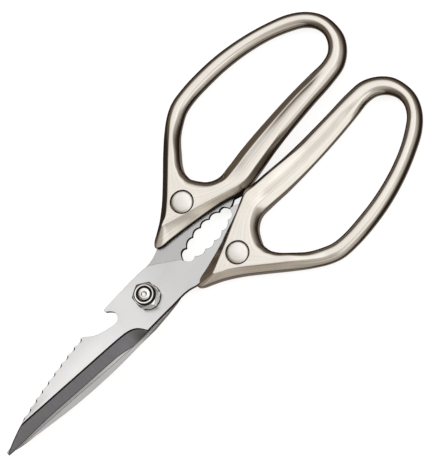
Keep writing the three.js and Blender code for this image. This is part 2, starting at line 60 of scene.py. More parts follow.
BEVEL_START = 10.1
BEVEL_FULL = 17.5
EDGE_THICKNESS = 0.2
HEEL_RISE = 1.7  # height of the edge above the parting face where the bevel starts
HONED_WIDTH = 1.2
HONED_SLOPE = 0.55
HOLLOW_GRIND = 0.07
GRIND_STEP = (0.6, 0.45)  # the small step where grinding starts, across and down
EDGE_BREAK = 0.09
KEEN_BREAK = 0.02
SPINE_RELIEF = 0.95  # how far the rear blade's spine leans in towards its outer face
TIP_BREAK = (0.6, 0.5)  # chamfer on the spine near the tip, across and down
TOOTH_BEVEL = (0.9, 1.4)  # bevel on one flank of each scaler tooth, across and down

SCALER_TEETH = 10
SCALER_FIRST = 31.8
SCALER_PITCH = 4.41
SCALER_DEPTH = 0.8
TOOTH_WIDTH = 0.5

GRIP_TEETH = 5
GRIP_MIDDLE = -35.6
GRIP_PITCH = 5.05
GRIP_DEPTH = 1.15

HANDLE_HALF = 5.0
LOOP_HALF = 3.7
WALL_HALF = 2.4
LOOP_WALL_HALF = 0.5
HOLE_ROUND = 3.6
ROOT_SLOPE = 0.87  # the root's bevel towards the blades, height over width
GAP_SLOPE = 1.75  # the inner grip's bevel towards the other half, height over width
GAP_SHARE = 0.165  # width of that bevel as a share of the strand's
GRIP_SLOPE = 0.54  # the inner grip's bevel towards the finger hole, height over width
FIT_GAP = 0.3
SEAM = 0.05

RIVET_X = -38.4
RIVET_Y = 16.2
RIVET_HEAD_R = 4.62
RIVET_SINK_R = 5.05
RIVET_SKIRT_R = RIVET_SINK_R - 0.05
RIVET_SINK = 1.5
RIVET_PROUD = 0.25
RIVET_TUBE_R = 3.0
RIVET_HOLE_R = 3.1
RIVET_PIN_R = 2.0
RIVET_BORE_R = 2.1

HEAD_R = 6.0
NECK_R = 3.8
NECK_FLAT = 3.0
NECK_GAP = 0.1
SHOULDER_R = 3.5
PIVOT_HOLE_R = 3.59
THREAD_R = 3.0
BOLT_FACE_R = 2.5
WASHER_R = 5.45
WASHER_BORE = 3.12
NUT_FLATS = 10.0
NUT_TURN = math.radians(25)
COLLAR_R = 4.5
COLLAR_BORE = 3.95
NUT_BORE = 3.08

HANDLE_TOP = PARTING + HANDLE_HALF
SHOULDER_TOP = BLADE_TOP + 0.05
WASHER_TOP = SHOULDER_TOP + 1.2
HEX_TOP = WASHER_TOP + 4.5
NUT_TOP = HEX_TOP + 1.6
REAR_BLADE_BOTTOM = 2 * PARTING - BLADE_TOP

ROUND_SIDES = 96
ROUND_ANGLES = [2 * math.pi * i / ROUND_SIDES for i in range(ROUND_SIDES)]


def smooth(x, low, high):
    t = min(max((x - low) / (high - low), 0.0), 1.0)
    return t * t * (3 - 2 * t)


def lerp(a, b, t):
    return a + (b - a) * t


# ---- outlines ----


def catmull(p0, p1, p2, p3, t):
    """A point on the centripetal Catmull-Rom span from p1 to p2."""
    d0, d1, d2 = (np.linalg.norm(b - a) ** 0.5 for a, b in ((p0, p1), (p1, p2), (p2, p3)))
    t1 = ((p1 - p0) / d0 - (p2 - p0) / (d0 + d1) + (p2 - p1) / d1) * d1
    t2 = ((p2 - p1) / d1 - (p3 - p1) / (d1 + d2) + (p3 - p2) / d2) * d1
    a = -3 * p1 + 3 * p2 - 2 * t1 - t2
    b = 2 * p1 - 2 * p2 + t1 + t2
    return p1 + t1 * t + a * t * t + b * t * t * t


def curve(points, steps, closed=False):
    """A smooth curve through the points, with steps between each two."""
    p = [np.array(q, float) for q in points]
    if closed:
        p = [p[-1], *p, p[0], p[1]]
    else:
        p = [2 * p[0] - p[1], *p, 2 * p[-1] - p[-2]]
    made = []
    for i in range(1, len(p) - 2):
        for k in range(steps):
            made.append(catmull(*p[i - 1:i + 3], k / steps))
    if not closed:
        made.append(p[-2])
    return made


def straight(points):
    return [np.array(q, float) for q in points]


def hollow(start, end, depth, steps):
    """The shallow arc between two tooth tips."""
    made = []
    for i in range(1, steps):
        t = i / steps
        point = lerp(start, end, t)
        point[1] += depth * 4 * t * (1 - t)
        made.append(point)
    return made


def back_line(x):
    """The line through the tips of the scaler's teeth."""
    run = max(0.0, x - SCALER_FIRST)
    return -9.65 + 0.0448 * run + 0.001886 * run * run


def scaler_teeth():
    xs = [SCALER_FIRST + i * SCALER_PITCH for i in reversed(range(SCALER_TEETH))]
    tips = [np.array((x, back_line(x))) for x in xs]
    half = np.array((TOOTH_WIDTH / 2, 0.05))
    made = []
    for i, tip in enumerate(tips):
        made += [tip + half, tip - half]
        if i < len(tips) - 1:
            made += hollow(tip - half, tips[i + 1] + half, SCALER_DEPTH, 14)
    return made


def grip_teeth():
    tips = []
    for i in range(GRIP_TEETH):
        x = GRIP_MIDDLE + ((GRIP_TEETH - 1) / 2 - i) * GRIP_PITCH
        tips.append(np.array((x, 4.6 - 0.0155 * (x - GRIP_MIDDLE) ** 2)))
    made = []
    for i, tip in enumerate(tips):
        made.append(tip)
        if i < len(tips) - 1:
            made += hollow(tip, tips[i + 1], GRIP_DEPTH, 16)
    return made


TIP = [[87.3, 0.85], [87.25, 0.1]]
FRONT_SPINE = [[86.8, -0.15], [83, -1.6], [79, -2.8], [75.2, -3.75], [73.2, -4.05]]
REAR_SPINE = [
    [86.8, -0.15], [81, -1.9], [75, -3.2], [66, -5], [56, -6.9], [44, -8.6], [30, -9.9],
    [16.3, -10.5],
]
OPENER_MOUTH = [
    [31.5, -9.7], [29.9, -8.6], [27.6, -6.4], [24, -4.6], [19.6, -3.15], [16.2, -2.75],
    [14.4, -4.1], [14.1, -6.2], [15.1, -7.9], [16.6, -9.4],
]
OPENER_HOOK = [[16.7, -10.2], [16.3, -10.5]]
RICASSO = [[8, -10.4], [0, -10.15], [-6, -9.75], [-8.4, -9.4], [-9.8, -8.9]]
GRIP_START = [[-20.6, -0.3], [-21.2, 1.5], [-22.6, 3.3], [-24.2, 3.6], [-25.2, 3.1]]
HOOK_CURVE = [[-46.8, 3.5], [-48.3, 3.1], [-49.9, 0.45]]
HOOK_BACK = [[-51.6, 0.95], [-54, 2.1]]
TANG_POCKET = [
    [-55.2, 4.2], [-52.6, 8], [-47.6, 11.4], [-45, 15.5], [-44.1, 21], [-41.2, 24.4],
    [-36, 21.9], [-28, 15.9], [-21, 12.7],
]
NECK_EDGE = [[-17, 12], [-14, 10.9], [-11.5, 10.4], [-9, 10.2], [-5, 10.1], [0, 9.8], [8, 9.45]]
BONE_NOTCH = [
    [12.9, 9.05], [13.3, 6.4], [14.4, 3.6], [17, 2.2], [20.6, 2.5], [24.4, 4], [27.6, 5.9],
    [30.4, 7.6],
]


def edge_line(x):
    """The cutting edge: nearly straight, with a little belly at the heel."""
    belly = 0.0028 * max(0.0, 24 - x) * (24 - x)
    return 8.8 - 0.118 * (x - 20) - belly + 0.1 * smooth(x, 70, 90)


def edge_points(first):
    return [np.array((x, edge_line(x))) for x in np.arange(first, 87, 2.0)]


def bevel_plane_line(x):
    """Where the bevel's plane meets the blade's face."""
    return 2.46 - 0.1135 * (x - 20)


def bevel_line(x):
    """Where the bevel starts: the plane's line, run out in a curve at the heel."""
    return bevel_plane_line(x) + 6.0 * math.exp(-(x - BEVEL_START) / 2.4)


def blade_outline(back, edge):
    return [
        *straight(TIP), *back, *straight(RICASSO), *curve(GRIP_START, 6), *grip_teeth(),
        *curve(HOOK_CURVE, 6), *straight(HOOK_BACK), *straight(TANG_POCKET),
        *curve(NECK_EDGE, 5), *edge,
    ]


def circle(radius, x=0.0, y=0.0, flat=None):
    """A circle, or with flat a circle cut by two flats at that distance either side."""
    made = []
    for a in ROUND_ANGLES:
        dx, dy = radius * math.cos(a), radius * math.sin(a)
        if flat is not None:
            dy = min(max(dy, -flat), flat)
        made.append(np.array((x + dx, y + dy)))
    return made


# ---- meshes ----


def mesh_of(name, vertices, faces):
    mesh = bpy.data.meshes.new(name)
    mesh.from_pydata([tuple(float(c) * MM for c in v) for v in vertices], [], faces)
    mesh.validate()
    return mesh


def object_of(name, data):
    made = bpy.data.objects.new(name, data)
    bpy.context.scene.collection.objects.link(made)
    return made


def solid(name, mesh):
    """An object from a closed mesh, whose faces are turned outwards."""
    work = bmesh.new()
    work.from_mesh(mesh)
    if work.calc_volume(signed=True) < 0:
        bmesh.ops.reverse_faces(work, faces=work.faces)
    work.to_mesh(mesh)
    work.free()
    return object_of(name, mesh)


def cut(target, cutter):
    """Takes the cutter out of the target's mesh and throws the cutter away."""
    modifier = target.modifiers.new("cut", "BOOLEAN")
    modifier.operation = "DIFFERENCE"
    modifier.solver = "MANIFOLD"
    modifier.object = cutter
    bpy.context.view_layer.update()
    graph = bpy.context.evaluated_depsgraph_get()
    result = bpy.data.meshes.new_from_object(target.evaluated_get(graph))
    target.modifiers.remove(modifier)
    if not result.polygons:
        raise RuntimeError(f"the cut on {target.name} left nothing")
    target.data = result
    old = cutter.data
    bpy.data.objects.remove(cutter)
    bpy.data.meshes.remove(old)


def ring(radius, height, x, y, angles):
    """One row of a turned shape; radius and height may be functions of the angle."""
    made = []
    for a in angles:
        r = radius(a) if callable(radius) else radius
        z = height(a) if callable(height) else height
        made.append((x + r * math.cos(a), y + r * math.sin(a), z))
    return made


def skin(name, rows, closed=False, capped=False):
    """A mesh from row to row, each a ring of points or a single one. It may be closed, from
    the last row to the first, or have a flat cap at each end."""
    vertices, starts = [], []
    for row in rows:
        starts.append((len(vertices), len(row)))
        vertices += row
    faces = []
    for (sa, na), (sb, nb) in zip(starts, starts[1:] + starts[:int(closed)]):
        for i in range(max(na, nb)):
            j = (i + 1) % max(na, nb)
            if na == 1:
                faces.append((sa, sb + j, sb + i))
            elif nb == 1:
                faces.append((sa + i, sa + j, sb))
            else:
                faces.append((sa + i, sa + j, sb + j, sb + i))
    if capped:
        faces.append(tuple(reversed(range(len(rows[0])))))
        faces.append(tuple(range(starts[-1][0], len(vertices))))
    return mesh_of(name, vertices, faces)


def turned(name, profile, x=0.0, y=0.0, angles=ROUND_ANGLES):
    """Turns a profile of (radius, height) points. It starts and ends at radius 0, a point on
    the axis, or runs round to meet itself."""
    rows = [[(x, y, h)] if r == 0 else ring(r, h, x, y, angles) for r, h in profile]
    return skin(name, rows, len(rows[0]) > 1)


def turned_piece(name, profile, smoothing, shaded_seam=None, x=0.0, y=0.0, angles=ROUND_ANGLES):
    """A turned object. Its shaded seam is the ring of faces between two radii and two heights; it
    gets the second finish, near black as painted shade."""
    made = solid(name, turned(name, profile, x, y, angles))
    inner, outer, low, high = shaded_seam or (0, 0, 0, 0)
    for polygon in made.data.polygons:
        across, along, z = polygon.center / MM
        in_ring = inner < math.hypot(across - x, along - y) < outer
        polygon.material_index = int(in_ring and low < z < high)
    shade(made.data, smoothing)
    return made


def inset(loop, distance):
    """The loop moved into the material on its left, by a mitred offset at each point."""
    p = np.array(loop)
    d = np.roll(p, -1, axis=0) - p
    d /= np.linalg.norm(d, axis=1)[:, None]
    n = np.stack((-d[:, 1], d[:, 0]), axis=1)
    before = np.roll(n, 1, axis=0)
    mitre = (n + before) / np.maximum(1 + np.sum(n * before, axis=1), 0.35)[:, None]
    return list(p + mitre * np.array(distance)[:, None])


def inside(points, loop):
    """Even-odd test of many points against one closed loop."""
    p, q = np.array(loop), np.roll(np.array(loop), -1, axis=0)
    x, y = points[:, 0][:, None], points[:, 1][:, None]
    spans = (p[:, 1] > y) != (q[:, 1] > y)
    rise = np.where(q[:, 1] == p[:, 1], 1.0, q[:, 1] - p[:, 1])
    crossing = p[:, 0] + (y - p[:, 1]) / rise * (q[:, 0] - p[:, 0])
    return np.sum(spans & (x < crossing), axis=1) % 2 == 1


def filled(loops):
    """Triangles that fill the first loop less the others, as indices into all the points."""
    points, edges = [], []
    for loop in loops:
        first = len(points)
        points += [Vector((float(p[0]), float(p[1]))) for p in loop]
        edges += [(first + i, first + (i + 1) % len(loop)) for i in range(len(loop))]
    made, _, faces, _, _, _ = delaunay_2d_cdt(points, edges, [], 0, 1e-7)
    if len(made) != len(points):
        raise RuntimeError("an outline crosses itself")
    flat = np.array([tuple(p) for p in made])
    centres = np.array([flat[list(f)].mean(axis=0) for f in faces])
    keep = inside(centres, loops[0])
    for hole in loops[1:]:
        keep &= ~inside(centres, hole)
    return [tuple(f) for f, k in zip(faces, keep) if k]


def plate(name, outline, holes, bottom, top, breaks=None):
    """A flat plate, from a clockwise outline and anticlockwise holes; breaks gives, at each
    point of an edge, the chamfer below and the width and depth of the one above."""
    loops = [loop[::-1] for loop in (outline, *holes)]
    count = sum(len(loop) for loop in loops)
    levels = [(loops, [bottom] * count), (loops, [top] * count)]
    if breaks:
        marks = [[breaks(p) for p in loop] for loop in loops]
        sizes = sum(marks, [])
        lower = [inset(loop, [m[0] for m in row]) for loop, row in zip(loops, marks)]
        upper = [inset(loop, [m[1] for m in row]) for loop, row in zip(loops, marks)]
        levels = [
            (lower, [bottom] * count), (loops, [bottom + m[0] for m in sizes]),
            (loops, [top - m[2] for m in sizes]), (upper, [top] * count),
        ]
    vertices = [(*p, z) for made, heights in levels for p, z in zip(sum(made, []), heights)]
    faces = []
    for level in range(len(levels) - 1):
        first = level * count
        for loop in loops:
            for i in range(len(loop)):
                a, b = first + i, first + (i + 1) % len(loop)
                faces.append((a, b, b + count, a + count))
            first += len(loop)
    faces += [tuple(reversed(f)) for f in filled(levels[0][0])]
    faces += [tuple(i + (len(levels) - 1) * count for i in f) for f in filled(levels[-1][0])]
    return mesh_of(name, vertices, faces)


def shade(mesh, angle):
    for polygon in mesh.polygons:
        polygon.use_smooth = True
    mesh.set_sharp_from_angle(angle=math.radians(angle))


def turn_over(mesh):
    """Carries a front piece to the rear half, half a turn about the X axis at the parting."""
    lift = Matrix.Translation((0, 0, 2 * PARTING * MM))
    mesh.transform(lift @ Matrix.Rotation(math.pi, 4, "X"))


# ---- blades ----

GRIND_STEPS = 6
HONE_STEP = 0.2  # the step where honing starts, as wide as it is deep


def honed_width(x):
    return max(HONED_WIDTH * smooth(x, 17, 27) * lerp(1, 0.3, smooth(x, 60, 86)), 0.03)


def honed_line(x):
    return max(edge_line(x) - honed_width(x), bevel_start(x) + 0.12)


def bevel_start(x):
    return min(bevel_line(x), edge_line(x) - 0.3)


def edge_height(x):
    return BLADE_BOTTOM + lerp(HEEL_RISE, EDGE_THICKNESS, smooth(x, BEVEL_START, BEVEL_FULL))


def honed_start(x):
    """Where the honed edge's step ends, and the height of the honed edge there."""
    step_end = min(honed_line(x) + HONE_STEP, edge_line(x) - 0.01)
    return step_end, edge_height(x) + HONED_SLOPE * (edge_line(x) - step_end)


def bevel_height(x, y):
    """Height of the bevel's slightly hollow surface."""
    plane, honed = bevel_plane_line(x), honed_line(x)
    share = (y - plane) / (honed - plane)
    sag = HOLLOW_GRIND * 4 * share * (1 - share)
    return lerp(BLADE_TOP - GRIND_STEP[1], honed_start(x)[1] + HONE_STEP, share) - sag


def bevel_cutter():
    """What the grinding takes away: a slightly hollow bevel and a narrow honed edge, each
    starting with a small step."""
    stations = [BEVEL_START + 0.3 * i for i in range(27)]
    stations += [20, 22, 24, 27, 30, 36, 44, 52, 60, 66, 72, 78, 84, 90]
    rows = []
    for x in stations:
        edge, start, honed, low = edge_line(x), bevel_start(x), honed_line(x), edge_height(x)
        first = min(start + GRIND_STEP[0], honed - 0.02)
        across = [lerp(first, honed, k / GRIND_STEPS) for k in range(GRIND_STEPS + 1)]
        rows.append([
            (x, start, BLADE_TOP), *[(x, y, bevel_height(x, y)) for y in across],
            (x, *honed_start(x)), (x, edge, low),
            (x, edge + 3, low), (x, edge + 3, BLADE_TOP + 1), (x, start, BLADE_TOP + 1),
        ])
    return solid("bevel_cutter", skin("bevel_cutter", rows, capped=True))


def tip_cutter():
    """A small chamfer where the bevel runs out over the spine near the tip."""
    width, depth = TIP_BREAK
    spine = sorted([*curve(FRONT_SPINE, 4), *straight(TIP[1:])], key=lambda point: point[0])
    rows = []
    for x, y in spine:
        high = bevel_height(x, y + width)
        rows.append([
            (x, y + width, high), (x, y, high - depth), (x, y - 1, high - depth),
            (x, y - 1, BLADE_TOP + 1), (x, y + width, BLADE_TOP + 1),
        ])
    return solid("tip_cutter", skin("tip_cutter", rows, capped=True))


BLADE_REGIONS = ("face", "bevel", "edge", "parting_face", "sheared_edge")


def region_of(centre, normal, spine_polished):
    """Which surface of the blade a face belongs to, as its place in BLADE_REGIONS."""
    x, y, z = centre
    if normal.z < -0.62 and z < BLADE_BOTTOM + EDGE_BREAK:
        return 3
    if normal.z > 0.3 and x > BEVEL_START and z < BLADE_TOP - 0.002:
        if y > bevel_line(x) - 0.02 and y > -0.12 * x + 2.5:
            # Steep steps in the grind take the sheared edge's near-black finish, painted shade.
            if normal.z < 0.8:
                return 4
            return 2 if y > honed_line(x) + 0.02 else 1
    # Upright walls take it too, as painted shade; the rear blade's polished spine takes the
    # parting face's finish.
    if abs(normal.z) < 0.62:
        return 3 if spine_polished and y < 0 and x > -12 else 4
    return 0


def scaler_break(x):
    """The bevel at the back's teeth: wide on the flank that faces the tip, slight elsewhere."""
    along = (x - SCALER_FIRST) / SCALER_PITCH % 1.0
    share = 1 - smooth(along, 0.2, 0.42) if along < 0.5 else smooth(along, 0.86, 0.94)
    return lerp(0.06, TOOTH_BEVEL[0], share), lerp(0.08, TOOTH_BEVEL[1], share)


def blade(name, outline, pivot_hole, front):
    def breaks(point):
        x, y = point
        if x > BEVEL_START and y > edge_line(x) - 0.4:
            return KEEN_BREAK, KEEN_BREAK, KEEN_BREAK
        if front and 31.7 < x < 72.2 and y < back_line(x) + SCALER_DEPTH + 0.3:
            return EDGE_BREAK, *scaler_break(x)
        if not front and x > 8 and y < 0:
            receding = smooth(x, 8, 16) * (1 - smooth(x, 70, 84))
            return EDGE_BREAK, lerp(EDGE_BREAK, SPINE_RELIEF, receding), 2.5
        if abs(x - GRIP_MIDDLE) < 9.5 and 3 < y < 7:
            return EDGE_BREAK, 0.25, 0.45
        return EDGE_BREAK, EDGE_BREAK, EDGE_BREAK

    holes = [pivot_hole, circle(RIVET_HOLE_R, RIVET_X, RIVET_Y)]
    made = solid(name, plate(name, outline, holes, BLADE_BOTTOM, BLADE_TOP, breaks))
    cut(made, bevel_cutter())
    if front:
        cut(made, tip_cutter())
    for polygon in made.data.polygons:
        polygon.material_index = region_of(polygon.center / MM, polygon.normal, not front)
    shade(made.data, 20)
    return made


def front_blade():
    back = [*curve(FRONT_SPINE, 4), *scaler_teeth(), *curve(OPENER_MOUTH, 8)]
    edge = [np.array((12.0, edge_line(12.0))), *edge_points(14)]
    outline = blade_outline([*back, *straight(OPENER_HOOK)], edge)
    return blade("front_blade_steel", outline, circle(PIVOT_HOLE_R), True)


def rear_blade():
    hole = circle(NECK_R + NECK_GAP, flat=NECK_FLAT + NECK_GAP)
    outline = blade_outline(curve(REAR_SPINE, 5), [*curve(BONE_NOTCH, 8), *edge_points(32)])
    made = blade("rear_blade_steel", outline, hole, False)
    turn_over(made.data)
    return made


# ---- handles ----

# Sections round the loop, as in the CAD: x and y on the outline, then on the finger hole.
SECTIONS = [
    (-16.9, 12.3, -47.7, 22.2), (-18.3, 14, -47.8, 23.4), (-21.5, 15.8, -47.9, 24.6),
    (-26.5, 18.7, -48.2, 25.9), (-32.5, 23.1, -48.9, 27.3), (-39.5, 29.3, -50.2, 29.2),
    (-47, 36.3, -53, 32.3), (-54, 42.7, -58, 37.2), (-60.3, 47.3, -63, 40.4),
    (-66, 49.8, -67.5, 42.5), (-73.5, 50.7, -73.5, 43.4), (-83, 50.6, -82, 43.3),
    (-94, 49.4, -92, 42.5), (-106, 46.6, -103, 40.4), (-117, 42.7, -113.5, 37),
    (-126, 38.3, -121.5, 33), (-132, 33, -126.6, 29.4), (-135.4, 27, -129.2, 25.4),
    (-136.2, 21, -129.7, 21.2), (-134.8, 14, -128, 17), (-130.8, 8.7, -124.7, 14),
    (-125, 5.1, -120.5, 13), (-117, 4, -114.5, 13.3), (-105, 3.8, -104, 13.8),
    (-93, 3.3, -92.5, 14), (-81, 2.3, -81, 13.8), (-71, 1.15, -71, 13.2),
    (-63.5, 0.35, -62.5, 12.3), (-59.2, 0.25, -57.3, 12), (-55.5, 1.5, -54.5, 12.8),
    (-49, 4.1, -51.5, 14.8), (-41, 6.25, -49.6, 17.3), (-32, 8.25, -48.5, 19.2),
    (-24, 9.75, -47.9, 20.4), (-18.4, 10.8, -47.75, 21.3),
]
# The edge of the flat on the washer's side, on the sections of the root named here.
NEAR_FLATS = {
    0: [-25.2, 14.5], 1: [-25.6, 15], 2: [-26.6, 15.7], 3: [-28.9, 17], 4: [-34.3, 21.1],
    5: [-41.3, 27.4], 6: [-48.7, 34.3], 28: [-58.4, 1.6], 29: [-54.6, 3], 30: [-48.2, 5.4],
    31: [-40.3, 8.6], 32: [-31.5, 12], 33: [-26.6, 13.9], 34: [-25.5, 14.25],
}
# The flat on the other side starts further in, on the sections of the root named here.
FAR_FLATS = {
    28: [-58.4, 3.1], 29: [-54.6, 4.5], 30: [-48.2, 6.9], 31: [-40.3, 9.9], 32: [-31.5, 13.1],
    33: [-26.6, 14.9], 34: [-25.7, 15.2], 0: [-25.3, 15.5], 1: [-25.6, 15.8], 2: [-26.7, 16.2],
}
INNER_STRAND = 21
SECTION_STEPS = 8
FLANK_STEPS = 7
TOP_STEPS = 8
FILLET_STEPS = 3
GRAIN_GIRTH = 40.0  # length that the grain's pattern has once round the strand
FILLET = 0.4  # radius of the polished arrises between the planar faces
CROWN = 0.75  # how far the inner grip's top falls towards the finger hole


def gap_bevel(x):
    """How far the inner strand's side towards the other half is a bevel rather than round."""
    return smooth(x, -97, -75)


def strand_shape(index, x):
    """How the strand is shaped there: where its flat starts on each side, as a share of its
    width, and how far it is part of the root or of the broad inner grip."""
    root = smooth(x, -62, -46)
    inner = index >= INNER_STRAND or index == 0
    grip = smooth(x, -122, -108) if inner else 0.0
    outer_flat = lerp(0.42, lerp(0.3, GAP_SHARE, gap_bevel(x)), grip) if inner else 0.42
    return outer_flat, lerp(0.42, 0.27, grip), root, grip * (1 - root)


def handle_curves(far_side):
    outline, outer_edge, hole_edge, hole = [], [], [], []
    flats = {**NEAR_FLATS, **FAR_FLATS} if far_side else NEAR_FLATS
    for i, section in enumerate(SECTIONS):
        rim, bore, flat = np.array(section[:2]), np.array(section[2:]), flats.get(i)
        outer_flat = strand_shape(i, rim[0])[0]
        edge = lerp(rim, bore, outer_flat) if flat is None else np.array(flat)
        _, hole_flat, root, _ = strand_shape(i, bore[0])
        start = rim if flat is None else edge
        back = lerp(hole_flat * np.linalg.norm(rim - bore), HOLE_ROUND, root)
        outline.append(rim)
        outer_edge.append(edge)
        hole_edge.append(lerp(bore, start, share_of(bore, start, back, 0.5)))
        hole.append(bore)
    return [curve(c, SECTION_STEPS, True) for c in (outline, outer_edge, hole_edge, hole)]


def on_flank(start, end, wall, crest, planar, t):
    """A point on a side of the strand, from the wall's top to the edge of the flat."""
    angle = t * math.pi / 2
    across = lerp(1 - math.cos(angle), t, planar)
    height = lerp(wall, crest, lerp(math.sin(angle), t, planar))
    return np.array((*lerp(start, end, across), height))


def fillet(before, corner, after):
    made = []
    for k in range(FILLET_STEPS + 1):
        t = k / FILLET_STEPS
        made.append(lerp(lerp(before, corner, t), lerp(corner, after, t), t))
    return made


def share_of(start, end, length, most):
    """The share of the way from start to end that a length takes up, but no more than most."""
    return min(length / max(np.linalg.norm(end - start), 1e-6), most)


def side_profile(rim, edge, far, wall, crest, planar):
    """From the wall over the flank to the flat top, with both arrises rounded."""
    corners = ((rim, wall), (edge, crest), (far, crest))
    low, high, beyond = (np.array((*point, height)) for point, height in corners)
    reach = share_of(low, high, FILLET, 0.3)
    first = on_flank(rim, edge, wall, crest, planar, reach)
    last = on_flank(rim, edge, wall, crest, planar, 1 - reach)
    made = fillet(low - (0, 0, min(FILLET, wall * 0.5)), low, first)
    for k in range(1, FLANK_STEPS):
        t = lerp(reach, 1 - reach, k / FLANK_STEPS)
        made.append(on_flank(rim, edge, wall, crest, planar, t))
    return made + fillet(last, high, lerp(high, beyond, share_of(high, beyond, FILLET, 0.4)))


def half_thickness(index, x):
    """Half the strand's height: full at the root, less round the loop."""
    full = smooth(x, -90, -62) if index >= INNER_STRAND else smooth(x, -62, -46)
    return lerp(LOOP_HALF, HANDLE_HALF, full)


def half_ring(i, curves):
    """Half a section, from the outline over the top to the finger hole, with heights from the
    parting plane."""
    rim, edge, hole_edge, bore = (c[i] for c in curves)
    index = i / SECTION_STEPS
    _, _, root, grip = strand_shape(index, rim[0])
    _, _, hole_root, hole_grip = strand_shape(index, bore[0])
    if index >= INNER_STRAND:
        root = smooth(rim[0], -66, -57)
    crest = half_thickness(index, rim[0])
    fall = CROWN * grip * (1 - root)
    reach, hole_reach = np.linalg.norm(edge - rim), np.linalg.norm(hole_edge - bore)
    gap = grip * gap_bevel(rim[0])
    gap_wall = lerp(LOOP_WALL_HALF, max(LOOP_WALL_HALF, crest - GAP_SLOPE * reach), gap)
    outer_wall = lerp(gap_wall, max(WALL_HALF, crest - ROOT_SLOPE * reach), root)
    grip_wall = max(LOOP_WALL_HALF, crest - fall - GRIP_SLOPE * hole_reach)
    hole_wall = lerp(lerp(LOOP_WALL_HALF, grip_wall, hole_grip), WALL_HALF, hole_root)
    outer = side_profile(rim, edge, hole_edge, outer_wall, crest, min(root + gap, 1.0))
    inner = side_profile(bore, hole_edge, edge, hole_wall, crest - fall, hole_grip)
    inner.reverse()
    top = []
    for k in range(1, TOP_STEPS):
        t = k / TOP_STEPS
        point = lerp(outer[-1], inner[0], t)
        point[2] = crest - fall * t * t
        top.append(point)
    return outer + top + inner


def strand_ring(i, near, far):
    under = [(x, y, PARTING - z) for x, y, z in half_ring(i, far)]
    over = [(x, y, PARTING + z) for x, y, z in half_ring(i, near)]
    return under + over[::-1]


def handle_skin(name):
    """The closed skin of the loop, with the direction of polish stored at each point."""
    near, far = handle_curves(False), handle_curves(True)
    rows = [strand_ring(i, near, far) for i in range(len(near[0]))]
    size = len(rows[0])
    mesh = skin(name, rows, closed=True)
    middle = np.array([(a + b) / 2 for a, b in zip(near[0], near[3])])
    along = [0.0, *np.cumsum(np.linalg.norm(np.diff(middle, axis=0), axis=1))]
    grain = [(run, j / size * GRAIN_GIRTH, 0.0) for run in along for j in range(size)]
    attribute = mesh.attributes.new("grain", "FLOAT_VECTOR", "POINT")
    attribute.data.foreach_set("vector", np.array(grain, np.float32).ravel())
    return mesh


def tang_slot():
    tang = np.array(TANG_POCKET, float)
    run = np.gradient(tang, axis=0)
    run /= np.linalg.norm(run, axis=1)[:, None]
    grown = tang + FIT_GAP * np.stack((-run[:, 1], run[:, 0]), axis=1)
    corner = straight([[-56.2, -3], [-56, 3.6]])
    mouth = straight([[-17, 12.35], [-12, 10.9], [-12, -3]])
    outline = [*corner, *grown, *mouth]
    return solid("slot", plate("slot", outline, [], BLADE_BOTTOM - SEAM, BLADE_TOP + SEAM))


def drill(made, profile):
    """Takes a turned profile out of the casting, at the rivet."""
    cut(made, solid("drill", turned("drill", profile, RIVET_X, RIVET_Y)))


def sink_profile(face, side):
    """The countersunk seat for a rivet head, with its rim lightly broken."""
    rim = 0.12
    floor = face - side * RIVET_SINK
    return [
        (0, floor), (RIVET_SINK_R, floor), (RIVET_SINK_R, face - side * rim),
        (RIVET_SINK_R + rim, face), (RIVET_SINK_R + 1, face + side), (0, face + side),
    ]


def handle(name):
    made = solid(name, handle_skin(name))
    cut(made, tang_slot())
    drill(made, [(0, -1), (RIVET_HOLE_R, -1), (RIVET_HOLE_R, 12), (0, 12)])
    drill(made, sink_profile(HANDLE_TOP, 1))
    drill(made, sink_profile(0.0, -1))
    # Painted shade: upright walls near the root that face the other half get the near-black second
    # finish, for the dark line along them.
    for polygon in made.data.polygons:
        x, y, _ = polygon.center / MM
        upright = abs(polygon.normal.z) < 0.25 and polygon.normal.y < -0.3
        polygon.material_index = int(upright and x > -60 and y < 11.5)
    shade(made.data, 24)
    return made


# ---- rivets ----


def rivet_piece(name, side, profile, low, high):
    """Half a rivet, with the narrow seam round its head between two heights painted near black as
    shade.
    """
    shaded_seam = (RIVET_HEAD_R - 0.06, math.inf, low, high)
    return turned_piece(name, profile, 25, shaded_seam, RIVET_X, side * RIVET_Y)


def rivet(name, side):
    head, skirt, pin = RIVET_HEAD_R, RIVET_SKIRT_R, RIVET_PIN_R
    seat, top = HANDLE_TOP - RIVET_SINK, HANDLE_TOP + RIVET_PROUD
    pin_end = RIVET_SINK + 1.5
    profile = [
        (0, pin_end), (pin - 0.4, pin_end), (pin, pin_end + 0.5), (pin, seat), (skirt, seat),
        (skirt, seat + 0.2), (head, top - 0.62), (head - 0.03, top - 0.5), (head - 0.1, top - 0.4),
        (head - 0.24, top - 0.31), (head - 0.5, top - 0.24), (3.9, top - 0.19), (3.3, top - 0.13),
        (2.6, top - 0.08), (1.9, top - 0.04), (1.2, top - 0.015), (0.5, top), (0, top),
    ]
    return rivet_piece(name, side, profile, seat, top - 0.6)


def rivet_cap(name, side):
    head, skirt, tube, bore, sink = (
        RIVET_HEAD_R, RIVET_SKIRT_R, RIVET_TUBE_R, RIVET_BORE_R, RIVET_SINK
    )
    tube_end = HANDLE_TOP - RIVET_SINK - 0.1
    profile = [
        (0, 0), (1.2, 0.01), (2.4, 0.04), (3.4, 0.09), (head - 0.4, 0.16), (head - 0.15, 0.22),
        (head - 0.04, 0.32), (head, 0.45), (skirt, sink - 0.2), (skirt, sink), (tube, sink),
        (tube, tube_end), (bore, tube_end), (bore, sink + 0.5), (0, sink + 0.5),
    ]
    return rivet_piece(name, side, profile, 0.44, sink)


# ---- pivot ----


def flatted(radius, flat):
    """The radius of a round bar with two flats across Y, at each angle."""
    return lambda a: min(radius, flat / max(abs(math.sin(a)), 1e-6))


